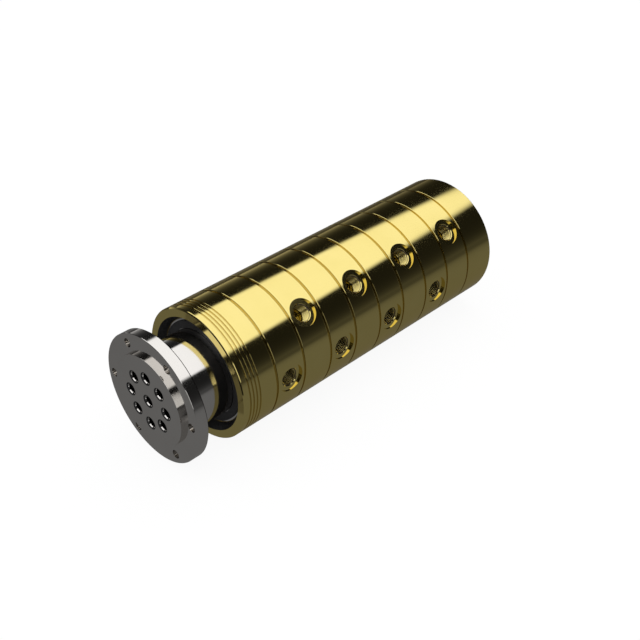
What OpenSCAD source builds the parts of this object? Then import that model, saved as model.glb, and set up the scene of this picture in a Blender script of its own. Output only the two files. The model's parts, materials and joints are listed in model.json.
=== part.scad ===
// Rotary union. A flanged steel shaft turns in a stack of brass rings. Each ring has one threaded
// port, and a passage drilled along the shaft brings that ring's line out at the flange.
// The axis lies along +X, the origin is the centre of the flange's front face, and +Z is up.

/* [Ports] */
// Number of port rings, each with its own passage in the shaft
ring_count = 8; // [2:1:10]
// Diameter of the flat spot face round a port
spot_d = 21; // [18:0.5:26]
// Depth of a spot face below the outside of the barrel
spot_depth = 1.8; // [1.5:0.1:2.6]
// Brass between a spot face and the ends of its ring
spot_margin = 2.5; // [1.6:0.1:5]
// Diameter of a port's thread
port_thread_d = 13.16; // [9.7:0.01:16]
// Depth of a port's thread below its spot face
port_thread_len = 11; // [8:0.5:12]
// Chamfer at the mouth of a port
port_chamfer = 0.45; // [0.2:0.05:1]
// Drilling from a port down to the ring's channel
port_drill_d = 9; // [5:0.5:9.5]
// Angle of the odd rings' ports, from the top round towards -Y
odd_port_angle = 90; // [80:1:100]
// Angle of the even rings' ports, from the top round towards -Y
even_port_angle = 45; // [35:1:55]

/* [Shaft] */
// Diameter of the spindle that the seals run on
spindle_d = 58; // [52:0.5:66]
// Diameter of the passages drilled along the shaft
passage_d = 6.6; // [5:0.1:8.4]
// Steel between a passage and the outside of the spindle
passage_wall = 6.8; // [4:0.1:7]
// Height by which a passage's mouth is wider than the passage, on the radius
mouth_step = 0.5; // [0.2:0.05:0.8]
// Width of the countersink round a mouth
sink_w = 0.65; // [0.3:0.05:1]
// Depth of that countersink
sink_depth = 1.1; // [0.5:0.1:3]
// Break of the countersink's rim
sink_break = 0.3; // [0.1:0.05:0.5]
// Height by which a passage's outlet is narrower than the passage, on the radius
outlet_step = 0.5; // [0.3:0.1:1]
// Step from the spindle up to the front bearing's journal
journal_step = 1; // [0.5:0.1:2]
// Step from the journal up to the neck, which the front bearing sits against
neck_step = 2.5; // [1.5:0.1:3]
// Step from the spindle down to the rear bearing's journal
rear_journal_step = 4; // [3:0.1:5]
// Clear length of the neck between the flange and the barrel
neck_gap = 29; // [15:0.5:60]

/* [Flange] */
// Thickness of the flange
flange_t = 9; // [6:0.5:16]
// Chamfer on the rear rim of the flange
flange_chamfer = 1; // [0.3:0.1:2]
// Height of the spigot boss in front of the flange
boss_h = 3.2; // [2:0.1:8]
// Step from the neck's radius out to the boss's radius
boss_step = 2; // [1:0.1:6]
// Break of the boss's rim
boss_break = 0.1; // [0.1:0.1:1]
// Number of bolt holes in the flange
flange_bolt_count = 6; // [3:1:8]
// Diameter of the bolt holes
flange_bolt_d = 6.6; // [4.5:0.1:9]
// Angle of the first bolt hole, from the top round towards -Y
flange_bolt_angle = 30; // [0:1:60]
// From the edge of the boss out to the bolt circle
bolt_to_boss = 7; // [6:0.1:12]
// From the bolt circle out to the rim of the flange
bolt_to_rim = 7; // [6:0.1:12]

/* [Barrel] */
// Brass outside the centres of the tie bolts
tie_edge = 7.5; // [6.5:0.1:12]
// Brass outside the front bearing's seat
seat_wall = 7.5; // [5:0.1:12]
// Chamfer on the front rim of the barrel
cap_chamfer = 0.9; // [0.6:0.1:2]
// Break of the outer edges of the flange and the rings
edge_break = 0.4; // [0.1:0.05:0.5]
// Depth of the seam between two rings
seam_depth = 1.5; // [0.6:0.1:1.6]
// Part of the seam's width that is cut from the rear edge of a ring
seam_rear = 0.6; // [0.2:0.05:1]
// Part of the seam's width that is cut from the front edge of a ring
seam_front = 1.15; // [0.2:0.05:1.2]
// Depth of the front bearing behind the barrel's front face
bearing_setback = 6; // [2:0.1:8]
// Widening of the front bore from the bearing out to that face, on the radius
bore_flare = 3.4; // [0.4:0.1:4]
// Height of the step that centres one ring on the next
register_h = 1.5; // [1:0.1:2]
// Brass outside that step
register_wall = 3; // [2.2:0.1:4]
// Number of fine grooves round the front cap
groove_count = 4; // [0:1:5]
// From the barrel's front face to the middle of the first groove
groove_first = 5.6; // [3:0.1:8]
// Distance from one groove to the next
groove_pitch = 2.95; // [2:0.05:4]
// Width of a groove
groove_w = 1.3; // [0.4:0.05:1.4]
// Depth of a groove
groove_depth = 0.8; // [0.6:0.05:1.4]

/* [Seals] */
// Radial height of the pocket for a slide seal and its O-ring
seal_section = 5.5; // [4.5:0.1:7]
// Width of that pocket
seal_w = 4.2; // [3.6:0.1:5]
// Radial thickness of a slide seal
slide_seal_t = 2; // [1.2:0.1:2.6]
// Brass between the pocket and the joint's O-ring groove
pocket_wall = 1.5; // [1:0.1:3]
// Thickness of the joint's O-ring
joint_cord_d = 2; // [1.5:0.1:2.6]
// Width of the O-ring groove beyond the O-ring
joint_groove_spare = 0.6; // [0.2:0.1:1.2]
// Brass between that groove and the tie bolts' holes
tie_wall = 1.15; // [0.8:0.05:3]
// Width of the channel round the spindle in each ring
channel_w = 10; // [6:0.5:11]
// Depth of that channel from the spindle
channel_depth = 6.5; // [4:0.1:7]

/* [Bearings] */
// Width of the front bearing
front_bearing_w = 10; // [9:0.5:14]
// Radial section of the front bearing
front_bearing_section = 10; // [9:0.5:13]
// Number of balls in the front bearing
front_ball_count = 20; // [12:1:22]
// Thickness of the front seal's lip, which covers the inner race
seal_lip_t = 0.6; // [0.4:0.1:1.5]
// Width of the rear bearing
rear_bearing_w = 7; // [7:0.5:10]
// Radial section of the rear bearing
rear_bearing_section = 7.5; // [7:0.5:9]
// Number of balls in the rear bearing
rear_ball_count = 26; // [14:1:28]

/* [Tie bolts and rear end] */
// Number of tie bolts
tie_count = 6; // [3:1:6]
// Diameter of a tie bolt
tie_d = 5; // [4:0.5:6]
// Diameter of a tie bolt's head
tie_head_d = 8.5; // [7.5:0.1:9]
// Height of a tie bolt's head
tie_head_h = 5; // [3:0.5:6]
// Width across the flats of the socket in a head
tie_socket = 4; // [2.5:0.5:5]
// Depth of that socket
tie_socket_depth = 2.5; // [1:0.5:2.8]
// Depth of a head below the barrel's rear face
tie_head_setback = 0.7; // [0.2:0.1:2]
// Depth of the tie bolts' threads in the front cap
tap_depth = 10; // [8:0.5:20]
// Brass between those threads and the front bearing's seat
tap_web = 4; // [2:0.1:6]
// Brass between the last seal and the rear bearing's seat
rear_web = 1.8; // [1:0.1:5]
// Thickness of the retaining ring on the shaft
shaft_ring_t = 2; // [1.2:0.1:2.5]
// Length of the shaft behind that ring
shaft_tail = 1.5; // [1:0.1:4]
// Gap between the end of the shaft and the cover
tail_gap = 1.5; // [0.8:0.1:4]
// Thickness of the end cover
cover_t = 4; // [3:0.1:8]
// Thickness of the retaining ring behind the cover
cover_ring_t = 2.5; // [1.5:0.1:3]
// Brass behind that ring's groove
rear_lip = 3; // [2:0.1:6]
// Depth of both rings' grooves
ring_groove_depth = 1.5; // [1:0.1:2]
// Radial width of both retaining rings
ring_band = 4.5; // [3.5:0.1:5]
// Angle from the top to each end of both rings
ring_open_angle = 7; // [5:0.5:15]
// Diameter of the ears on the ring behind the cover
ear_d = 6.4; // [5:0.1:8]
// Diameter of the plier holes in both rings
plier_hole_d = 2.5; // [1.5:0.1:3]

/* [Clearances] */
// Running clearance of a slide seal on the spindle, on the radius
running_clearance = 0.05; // [0.02:0.01:0.1]
// Clearance between turning and still pieces that never touch
free_clearance = 0.3; // [0.2:0.05:0.5]
// Clearance of a piece in its seat, on the radius
fit_clearance = 0.02; // [0.01:0.01:0.05]
// Clearance between a ball and its races or its cage
ball_clearance = 0.1; // [0.05:0.01:0.15]
// Clearance of a tie bolt in its plain holes, on the radius
tie_clearance = 0.25; // [0.1:0.05:0.5]
// Clearance of a tie bolt's head in its counterbore, on the radius
head_clearance = 0.5; // [0.2:0.1:1]
// Clearance beyond the end of a tie bolt
tie_end_gap = 1; // [0.5:0.1:3]

/* [Hidden] */
$fn = 128;
brass = [0.83, 0.68, 0.30];
steel = [0.72, 0.71, 0.72];
dark_rubber = [0.08, 0.08, 0.09];
filled_ptfe = [0.42, 0.36, 0.24];
cage_plastic = [0.55, 0.42, 0.24];
screw_steel = [0.30, 0.30, 0.32];
// Overlap that carries a cut clear of a face
cut_over = 1;
// A drilled passage runs this far past its outlet
drill_overrun = 2;
// A broken edge has two equal facets, which meet at this share of its size from both faces
facet_share = 1 - cos(45);

// Radii from the axis outwards
spindle_r = spindle_d / 2;
journal_r = spindle_r + journal_step;
neck_r = journal_r + neck_step;
rear_journal_r = spindle_r - rear_journal_step;
passage_r = spindle_r - passage_wall - passage_d / 2;
mouth_r = passage_d / 2 + mouth_step;
boss_r = neck_r + boss_step;
flange_bolt_r = boss_r + bolt_to_boss;
flange_r = flange_bolt_r + bolt_to_rim;
bore_r = spindle_r + free_clearance;
channel_r = spindle_r + channel_depth;
pocket_r = spindle_r + seal_section;
slide_seal_in_r = spindle_r + running_clearance;
slide_seal_out_r = slide_seal_in_r + slide_seal_t;
joint_in_r = pocket_r + pocket_wall;
joint_out_r = joint_in_r + joint_cord_d + joint_groove_spare;
tie_hole_r = tie_d / 2 + tie_clearance;
tie_r = joint_out_r + tie_wall + tie_hole_r;
front_seat_r = journal_r + front_bearing_section;
rear_seat_r = rear_journal_r + rear_bearing_section;
barrel_r = max(tie_r + tie_edge, front_seat_r + seat_wall);
register_r = barrel_r - register_wall;

// Places along the axis
barrel_front = flange_t + neck_gap;
front_bearing_x = barrel_front + bearing_setback;
front_seat_end = front_bearing_x + front_bearing_w;
tap_bottom = front_seat_end + tap_web;
first_joint = tap_bottom + tap_depth;
ring_w = spot_d + 2 * spot_margin;
last_joint = first_joint + ring_count * ring_w;
rear_bearing_x = last_joint + register_h + seal_w + rear_web;
rear_bearing_end = rear_bearing_x + rear_bearing_w;
shaft_end = rear_bearing_end + shaft_ring_t + shaft_tail;
cover_x = shaft_end + tail_gap;
cover_ring_x = cover_x + cover_t;
barrel_rear = cover_ring_x + cover_ring_t + rear_lip;
tie_head_x = barrel_rear - tie_head_setback - tie_head_h;
tie_angle = (odd_port_angle + even_port_angle) / 2;

// Fits behind the bearings
seat_land = 3.5;
relief_depth = 1;
lead_in = 1.5;
tail_chamfer = 0.8;
cover_chamfer = 0.6;
cover_rim_t = 2.5;

// Proportions of a sealed ball bearing
ball_share = 0.53;
ball_width_share = 0.6;
race_groove_share = 0.18;
race_land_share = 0.16;
race_chamfer_share = 0.045;
seal_set_in_share = 0.04;
seal_zone_share = 0.1;
cage_web_share = 0.09;
cage_open_share = 0.65;
cage_gap_share = 0.06;

// A bearing is [front face, width, bore radius, section, number of balls]
front_bearing = [front_bearing_x, front_bearing_w, journal_r, front_bearing_section, front_ball_count];
rear_bearing = [rear_bearing_x, rear_bearing_w, rear_journal_r, rear_bearing_section, rear_ball_count];
function middle_of(b) = b[0] + b[1] / 2;
function pitch_of(b) = b[2] + b[3] / 2;
function ball_r_of(b) = min(ball_share * b[3], ball_width_share * b[1]) / 2;
function groove_of(b) = 2 * race_groove_share * ball_r_of(b);
function inner_land_of(b) = pitch_of(b) - ball_r_of(b) + groove_of(b);
function outer_land_of(b) = pitch_of(b) + ball_r_of(b) - groove_of(b);
function recess_of(b) = b[2] + b[3] * (1 - race_land_share);

function ring_front(i) = first_joint + (i - 1) * ring_w;
function ring_middle(i) = ring_front(i) + ring_w / 2;
function port_angle(i) = i % 2 == 1 ? odd_port_angle : even_port_angle;
function passage_angle(i) = 360 / ring_count * i;

function numbered(name, last) = [for (i = [1 : last]) str(name, i)];

// A solid turned about the X axis from points [radius, place along the axis]
module turned(points) {
    rotate([0, 90, 0]) rotate_extrude() polygon(points);
}

// A ring of round section about the X axis
module cord_ring(x, ring_r, cord_r) {
    translate([x, 0, 0]) rotate([0, 90, 0]) rotate_extrude() translate([ring_r, 0]) circle(r = cord_r);
}

// Children drawn along +Z are laid along +X, at a radius and an angle from the top
module along_axis(x, r, angle) {
    rotate([angle, 0, 0]) translate([x, 0, r]) rotate([0, 90, 0]) children();
}

// Children drawn along +Z point straight out from the axis at an angle from the top
module outwards(x, r, angle) {
    rotate([angle, 0, 0]) translate([x, 0, r]) children();
}

// Profile of a broken outer edge: the front one from the face out to the rim, the rear one the other way
function front_edge(r, x, size) = [
    [r - size, x], [r - facet_share * size, x + facet_share * size], [r, x + size]
];
function rear_edge(r, x, size) = [
    [r, x - size], [r - facet_share * size, x - facet_share * size], [r - size, x]
];

// Profile of a ring's rear face, from the rim in to the bore, with the step that centres the next ring
function spigot_points(x) = concat(rear_edge(barrel_r, x - seam_rear, edge_break), [
    [barrel_r - seam_depth, x - seam_rear], [barrel_r - seam_depth, x],
    [register_r, x], [register_r, x + register_h], [bore_r, x + register_h]
]);

// Profile of a ring's front face, from the bore out to the rim: seal pocket, O-ring groove and register
function socket_points(x) = let (face = x + register_h, recess_r = register_r + fit_clearance) concat([
    [bore_r, face + seal_w], [pocket_r, face + seal_w], [pocket_r, face],
    [joint_in_r, face], [joint_in_r, face + joint_cord_d],
    [joint_out_r, face + joint_cord_d], [joint_out_r, face],
    [recess_r, face], [recess_r, x],
    [barrel_r - seam_depth, x], [barrel_r - seam_depth, x + seam_front]
], front_edge(barrel_r, x + seam_front, edge_break));

function groove_points(i) = let (
    x = barrel_front + groove_first + i * groove_pitch, front = x - groove_w / 2, rear = x + groove_w / 2,
    rim = edge_break / 2
) concat(
    rear_edge(barrel_r, front, rim),
    [[barrel_r - groove_depth, front], [barrel_r - groove_depth, rear]],
    front_edge(barrel_r, rear, rim)
);

module tie_holes(x, length, r) {
    for (k = [0 : tie_count - 1])
        along_axis(x, tie_r, tie_angle + 360 / tie_count * k) cylinder(r = r, h = length);
}

// One passage: its countersunk mouth in the boss and the drilling behind it
module passage_cut(r, angle, end) {
    sink_r = mouth_r + sink_w;
    rim_r = sink_r + sink_break;
    along_axis(0, r, angle) rotate_extrude() polygon([
        [0, -boss_h - cut_over], [rim_r, -boss_h - cut_over], [rim_r, -boss_h],
        [sink_r, sink_break - boss_h], [mouth_r, sink_break + sink_depth - boss_h], [mouth_r, flange_t],
        [passage_d / 2, flange_t], [passage_d / 2, end], [0, end]
    ]);
}

// The shaft: flange, spigot boss, neck and spindle turned from one bar, with a passage to each ring
module shaft() {
    ring_groove_r = rear_journal_r - ring_groove_depth;
    outlet_r = passage_d / 2 - outlet_step;
    color(steel) difference() {
        turned(concat([[0, -boss_h]], front_edge(boss_r, -boss_h, boss_break), [[boss_r, 0]],
                      front_edge(flange_r, 0, edge_break), [
            [flange_r, flange_t - flange_chamfer], [flange_r - flange_chamfer, flange_t],
            [neck_r, flange_t], [neck_r, front_bearing_x],
            [journal_r, front_bearing_x], [journal_r, front_seat_end], [spindle_r, front_seat_end],
            [spindle_r, rear_bearing_x - lead_in], [spindle_r - lead_in, rear_bearing_x],
            [rear_journal_r, rear_bearing_x], [rear_journal_r, rear_bearing_end],
            [ring_groove_r, rear_bearing_end], [ring_groove_r, rear_bearing_end + shaft_ring_t],
            [rear_journal_r, rear_bearing_end + shaft_ring_t],
            [rear_journal_r, shaft_end - tail_chamfer], [rear_journal_r - tail_chamfer, shaft_end],
            [0, shaft_end]
        ]));
        for (k = [0 : flange_bolt_count - 1])
            along_axis(-cut_over, flange_bolt_r, flange_bolt_angle + 360 / flange_bolt_count * k)
                cylinder(d = flange_bolt_d, h = flange_t + 2 * cut_over);
        for (i = [1 : ring_count]) {
            passage_cut(passage_r, passage_angle(i), ring_middle(i) + passage_d / 2 + drill_overrun);
            outwards(ring_middle(i), passage_r, passage_angle(i))
                cylinder(r = outlet_r, h = passage_wall + passage_d / 2 + cut_over);
        }
        passage_cut(0, 0, shaft_end + cut_over);
    }
}

// The front cap: flared bore, bearing seat, fine grooves outside, and the tie bolts' threads behind
module front_cap() {
    relief_r = front_seat_r - seat_land;
    chamfer_end = barrel_front + cap_chamfer;
    rim = edge_break / 2;
    color(brass) difference() {
        turned(concat(
            [[front_seat_r, front_bearing_x], [front_seat_r + bore_flare, barrel_front]],
            [[barrel_r - cap_chamfer, barrel_front], [barrel_r - rim, chamfer_end - rim]],
            [[barrel_r, chamfer_end + rim]],
            [for (i = [0 : 1 : groove_count - 1]) each groove_points(i)],
            spigot_points(first_joint),
            [[bore_r, front_seat_end + relief_depth], [relief_r, front_seat_end + relief_depth]],
            [[relief_r, front_seat_end], [front_seat_r, front_seat_end]]
        ));
        tie_holes(tap_bottom, tap_depth + register_h + cut_over, tie_d / 2 + fit_clearance);
    }
}

// One port: flat spot face, chamfered thread and the drilling down to the channel
module port_cut(x, angle) {
    floor_r = barrel_r - spot_depth;
    thread_r = port_thread_d / 2;
    outwards(x, 0, angle) rotate_extrude() polygon([
        [0, (bore_r + channel_r) / 2], [port_drill_d / 2, (bore_r + channel_r) / 2],
        [port_drill_d / 2, floor_r - port_thread_len], [thread_r, floor_r - port_thread_len],
        [thread_r, floor_r - port_chamfer], [thread_r + port_chamfer, floor_r],
        [spot_d / 2, floor_r], [spot_d / 2, barrel_r + cut_over], [0, barrel_r + cut_over]
    ]);
}

// A port ring: the channel round the spindle, one port, and a socket and spigot to its neighbours
module port_ring(i) {
    channel_front = ring_middle(i) - channel_w / 2;
    channel_rear = ring_middle(i) + channel_w / 2;
    color(brass) difference() {
        turned(concat(
            spigot_points(ring_front(i + 1)),
            [[bore_r, channel_rear], [channel_r, channel_rear]],
            [[channel_r, channel_front], [bore_r, channel_front]],
            socket_points(ring_front(i))
        ));
        port_cut(ring_middle(i), port_angle(i));
        tie_holes(ring_front(i) - cut_over, ring_w + register_h + 2 * cut_over, tie_hole_r);
    }
}

// The rear cap: the last seal's pocket, the rear bearing's seat and the tie bolts' counterbores
module rear_cap() {
    groove_r = rear_seat_r + ring_groove_depth;
    color(brass) difference() {
        turned(concat(
            rear_edge(barrel_r, barrel_rear, edge_break),
            [[rear_seat_r, barrel_rear], [rear_seat_r, cover_ring_x + cover_ring_t]],
            [[groove_r, cover_ring_x + cover_ring_t], [groove_r, cover_ring_x]],
            [[rear_seat_r, cover_ring_x], [rear_seat_r, rear_bearing_x], [bore_r, rear_bearing_x]],
            socket_points(last_joint)
        ));
        tie_holes(last_joint - cut_over, barrel_rear - last_joint + 2 * cut_over, tie_hole_r);
        tie_holes(tie_head_x, barrel_rear - tie_head_x + cut_over, tie_head_d / 2 + head_clearance);
    }
}

// The end cover: a disc whose rim holds the rear bearing's outer race against its shoulder
module end_cover() {
    out_r = rear_seat_r - fit_clearance;
    rim_r = out_r - cover_rim_t;
    color(brass) turned([
        [0, cover_x], [rim_r, cover_x], [rim_r, rear_bearing_end], [out_r, rear_bearing_end],
        [out_r, cover_ring_x - cover_chamfer], [out_r - cover_chamfer, cover_ring_x], [0, cover_ring_x]
    ]);
}

// Long socket screws from the rear cap to the front cap
module tie_bolts() {
    shank_x = tap_bottom + tie_end_gap;
    color(screw_steel) difference() {
        union() {
            tie_holes(shank_x, tie_head_x - shank_x + cut_over, tie_d / 2);
            tie_holes(tie_head_x, tie_head_h, tie_head_d / 2);
        }
        for (k = [0 : tie_count - 1])
            along_axis(tie_head_x + tie_head_h - tie_socket_depth, tie_r, tie_angle + 360 / tie_count * k)
                cylinder(d = tie_socket / cos(30), h = tie_socket_depth + cut_over, $fn = 6);
    }
}

// A flat ring about the axis, open at the top over an angle to each side
module open_ring(x, thickness, in_r, out_r, angle) {
    reach = 2 * out_r;
    cut_h = thickness + 2 * cut_over;
    difference() {
        along_axis(x, 0, 0) cylinder(r = out_r, h = thickness);
        along_axis(x - cut_over, 0, 0) cylinder(r = in_r, h = cut_h);
        along_axis(x - cut_over, 0, 0) linear_extrude(cut_h)
            polygon([[0, 0], reach * [-cos(angle), -sin(angle)], reach * [-cos(angle), sin(angle)]]);
    }
}

// A disc at each end of a retaining ring's opening: an ear, or the plier hole through it
module ring_ends(x, thickness, at_r, angle, r) {
    for (side = [-1, 1])
        along_axis(x, at_r, side * angle) cylinder(r = r, h = thickness);
}

// The outside retaining ring, with its plier holes in the band itself
module shaft_retaining_ring() {
    in_r = rear_journal_r - ring_groove_depth + fit_clearance;
    hole_at = in_r + ring_band / 2;
    color(steel) difference() {
        open_ring(rear_bearing_end, shaft_ring_t, in_r, in_r + ring_band, ring_open_angle);
        ring_ends(rear_bearing_end - cut_over, shaft_ring_t + 2 * cut_over, hole_at,
                  ring_open_angle + asin(ring_band / 2 / hole_at), plier_hole_d / 2);
    }
}

// The inside retaining ring, with an inward ear at each end for the plier hole
module cover_retaining_ring() {
    out_r = rear_seat_r + ring_groove_depth - fit_clearance;
    in_r = out_r - ring_band;
    ear_angle = ring_open_angle + asin(ear_d / 2 / in_r);
    color(steel) difference() {
        union() {
            open_ring(cover_ring_x, cover_ring_t, in_r, out_r, ring_open_angle);
            ring_ends(cover_ring_x, cover_ring_t, in_r, ear_angle, ear_d / 2);
        }
        ring_ends(cover_ring_x - cut_over, cover_ring_t + 2 * cut_over, in_r, ear_angle, plier_hole_d / 2);
    }
}

// The round track that the balls run in
module ball_track(b) {
    cord_ring(middle_of(b), pitch_of(b), ball_r_of(b) + ball_clearance);
}

module outer_race(b) {
    out_r = b[2] + b[3] - fit_clearance;
    chamfer = race_chamfer_share * b[1];
    zone = seal_zone_share * b[1];
    rear = b[0] + b[1];
    color(steel) difference() {
        turned([
            [recess_of(b), b[0]], [out_r - chamfer, b[0]], [out_r, b[0] + chamfer],
            [out_r, rear - chamfer], [out_r - chamfer, rear], [recess_of(b), rear],
            [recess_of(b), rear - zone], [outer_land_of(b), rear - zone],
            [outer_land_of(b), b[0] + zone], [recess_of(b), b[0] + zone]
        ]);
        ball_track(b);
    }
}

module inner_race(b) {
    in_r = b[2] + fit_clearance;
    chamfer = race_chamfer_share * b[1];
    rear = b[0] + b[1];
    color(steel) difference() {
        turned([
            [in_r + chamfer, b[0]], [inner_land_of(b), b[0]], [inner_land_of(b), rear],
            [in_r + chamfer, rear], [in_r, rear - chamfer], [in_r, b[0] + chamfer]
        ]);
        ball_track(b);
    }
}

module ball_set(b, r) {
    for (k = [1 : b[4]])
        outwards(middle_of(b), pitch_of(b), 360 / b[4] * k) sphere(r = r);
}

module balls(b) {
    color(steel) ball_set(b, ball_r_of(b));
}

// A snap cage: one moulded ring with a pocket for each ball, open at the rear
module cage(b) {
    pocket_wall_r = ball_r_of(b) + ball_clearance;
    gap = cage_gap_share * b[3] / 2;
    front = middle_of(b) - pocket_wall_r - 2 * cage_web_share * ball_r_of(b);
    rear = middle_of(b) + cage_open_share * ball_r_of(b);
    color(cage_plastic) difference() {
        turned([
            [inner_land_of(b) + gap, front], [outer_land_of(b) - gap, front],
            [outer_land_of(b) - gap, rear], [inner_land_of(b) + gap, rear]
        ]);
        ball_set(b, pocket_wall_r);
    }
}

// A bearing's rubber seal, from the outer face inwards: side is 1 at the front and -1 at the rear
module bearing_seal(b, side) {
    face = side == 1 ? b[0] : b[0] + b[1];
    near = face + side * seal_set_in_share * b[1];
    far = face + side * seal_zone_share * b[1];
    color(dark_rubber) turned([
        [inner_land_of(b) + free_clearance, near], [recess_of(b) - fit_clearance, near],
        [recess_of(b) - fit_clearance, far], [inner_land_of(b) + free_clearance, far]
    ]);
}

// The front bearing's outer seal: a foot in the outer race's recess, and a lip in front of the inner race
module front_seal(b) {
    lip_r = neck_r + free_clearance;
    lip_rear = b[0] - free_clearance;
    lip_front = lip_rear - seal_lip_t;
    foot_in_r = inner_land_of(b) + free_clearance;
    foot_out_r = recess_of(b) - fit_clearance;
    foot_rear = b[0] + seal_zone_share * b[1];
    color(dark_rubber) turned([
        [lip_r, lip_front], [foot_out_r, lip_front], [foot_out_r, foot_rear],
        [foot_in_r, foot_rear], [foot_in_r, lip_rear], [lip_r, lip_rear]
    ]);
}

// The i-th seal lies in the front face of the i-th ring, and the last one in the rear cap
function seal_front(i) = ring_front(i) + register_h;

module slide_seal(i) {
    color(filled_ptfe) turned([
        [slide_seal_in_r, seal_front(i)], [slide_seal_out_r, seal_front(i)],
        [slide_seal_out_r, seal_front(i) + seal_w], [slide_seal_in_r, seal_front(i) + seal_w]
    ]);
}

module seal_o_ring(i) {
    cord_r = (pocket_r - slide_seal_out_r) / 2 - fit_clearance;
    color(dark_rubber)
        cord_ring(seal_front(i) + seal_w / 2, (pocket_r + slide_seal_out_r) / 2, cord_r);
}

module joint_o_ring(i) {
    color(dark_rubber)
        cord_ring(seal_front(i) + joint_cord_d / 2, (joint_in_r + joint_out_r) / 2,
                  joint_cord_d / 2 - fit_clearance);
}

shaft();
front_cap();
for (i = [1 : ring_count])
    port_ring(i);
rear_cap();
end_cover();
tie_bolts();
shaft_retaining_ring();
cover_retaining_ring();
outer_race(front_bearing);  // front_outer_race
inner_race(front_bearing);  // front_inner_race
balls(front_bearing);  // front_balls
cage(front_bearing);  // front_cage
front_seal(front_bearing);  // front_bearing_front_seal
bearing_seal(front_bearing, -1);  // front_bearing_rear_seal
outer_race(rear_bearing);  // rear_outer_race
inner_race(rear_bearing);  // rear_inner_race
balls(rear_bearing);  // rear_balls
cage(rear_bearing);  // rear_cage
bearing_seal(rear_bearing, 1);  // rear_bearing_front_seal
bearing_seal(rear_bearing, -1);  // rear_bearing_rear_seal
for (i = [1 : ring_count + 1]) {
    slide_seal(i);
    seal_o_ring(i);
    joint_o_ring(i);
}
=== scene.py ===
"""Looks of an eight-passage rotary union: finishes for its solids, the port threads and a small studio."""

import json
from collections import namedtuple
from functools import partial

import bpy
import numpy as np
from bpy.props import FloatProperty, FloatVectorProperty, IntProperty, PointerProperty
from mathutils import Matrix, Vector


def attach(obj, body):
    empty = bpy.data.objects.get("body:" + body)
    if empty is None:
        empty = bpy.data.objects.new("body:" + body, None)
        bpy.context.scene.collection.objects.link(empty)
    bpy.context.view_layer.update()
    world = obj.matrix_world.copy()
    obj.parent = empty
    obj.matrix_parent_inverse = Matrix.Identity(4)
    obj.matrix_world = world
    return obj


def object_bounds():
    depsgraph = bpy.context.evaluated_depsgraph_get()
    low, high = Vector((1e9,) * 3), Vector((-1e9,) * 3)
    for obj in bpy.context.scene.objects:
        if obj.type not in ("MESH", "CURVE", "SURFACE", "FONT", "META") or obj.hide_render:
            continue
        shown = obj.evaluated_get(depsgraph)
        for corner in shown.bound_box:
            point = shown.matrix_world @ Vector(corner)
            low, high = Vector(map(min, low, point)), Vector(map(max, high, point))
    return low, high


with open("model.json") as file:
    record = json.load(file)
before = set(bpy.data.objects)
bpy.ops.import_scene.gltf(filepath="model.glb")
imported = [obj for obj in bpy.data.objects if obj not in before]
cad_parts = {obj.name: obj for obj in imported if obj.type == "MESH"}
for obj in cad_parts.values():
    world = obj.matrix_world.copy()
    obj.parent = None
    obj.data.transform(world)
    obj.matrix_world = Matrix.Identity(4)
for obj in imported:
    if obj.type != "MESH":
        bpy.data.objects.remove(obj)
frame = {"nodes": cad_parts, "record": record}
cad_box = [list(corner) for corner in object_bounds()]
ports = [mount for mount in frame["record"]["mounts"] if mount["name"].startswith("port_")]

bl_info = {
    "name": "Rotary union looks",
    "version": (1, 0, 0),
    "blender": (4, 5, 0),
    "location": "View3D > Sidebar > Rotary union",
    "description": "Finishes a packed rotary union, cuts its port threads and sets it in a studio",
    "category": "Object",
}

MM = 0.001
FULL_TURN = 2 * np.pi
# A colour Mix node repeats its sockets' names for each kind of value, so these are found by number.
MIX_FIRST = 6
MIX_SECOND = 7
MIX_RESULT = 2
# Noise stays mostly between these two values.
NOISE_LOW = 0.3
NOISE_HIGH = 0.7
# How much rougher a moulded surface is at the tops of its grain than in the hollows.
GRAIN_SPREAD = 0.12
# Share of its height that a pipe thread's triangle loses at the crest, and again at the root.
TRUNCATION = 1 / 6
# Share of the thread's fit that is left between its shell and the port's wall.
SHELL_GAP = 1 / 3
# Half the floor's side, in radii of the room.
FLOOR_REACH = 4
# How far the floor lies under the table card, and the smaller cards above it.
CARD_CLEARANCE = 0.1 * MM
# How far the room's cloth passes the soft box, in metres.
CLOTH_OVERLAP = 0.1
# Steps round the wall of cloth.
WALL_SIDES = 96

# A point of a turned face: its Object coordinates, its place along the axis and its distance from it.
Spot = namedtuple("Spot", "place along radius")


def linear(hex_colour):
    """sRGB hex to linear light: a straight foot below 0.04045, and a 2.4 power above it."""
    parts = [int(hex_colour[i : i + 2], 16) / 255 for i in (1, 3, 5)]
    return [part / 12.92 if part <= 0.04045 else ((part + 0.055) / 1.055) ** 2.4 for part in parts]


def colour_setting(name, hex_colour, description):
    """A colour that a user may change, written as hex and kept in linear light."""
    return FloatVectorProperty(
        name=name, description=description, default=linear(hex_colour), subtype="COLOR", min=0, max=1
    )


def length_setting(name, metres, description):
    """A length that a user may change, in metres."""
    return FloatProperty(name=name, description=description, default=metres, unit="LENGTH", precision=6)


def place_setting(name, metres, description):
    """A place that a user may change, in metres, level or in space."""
    return FloatVectorProperty(
        name=name, description=description, default=metres, size=len(metres), unit="LENGTH", precision=6
    )


def share_setting(name, share, description):
    """A share from 0 to 1 that a user may change."""
    return FloatProperty(name=name, description=description, default=share, subtype="FACTOR", min=0, max=1)


def angle_setting(name, degrees, description):
    """An angle that a user may change, written in degrees."""
    return FloatProperty(name=name, description=description, default=np.radians(degrees), subtype="ANGLE")


def strength_setting(name, strength, description):
    """A strength of light that a user may change, where 1 shows as white."""
    return FloatProperty(name=name, description=description, default=strength, min=0, precision=4)


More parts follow.
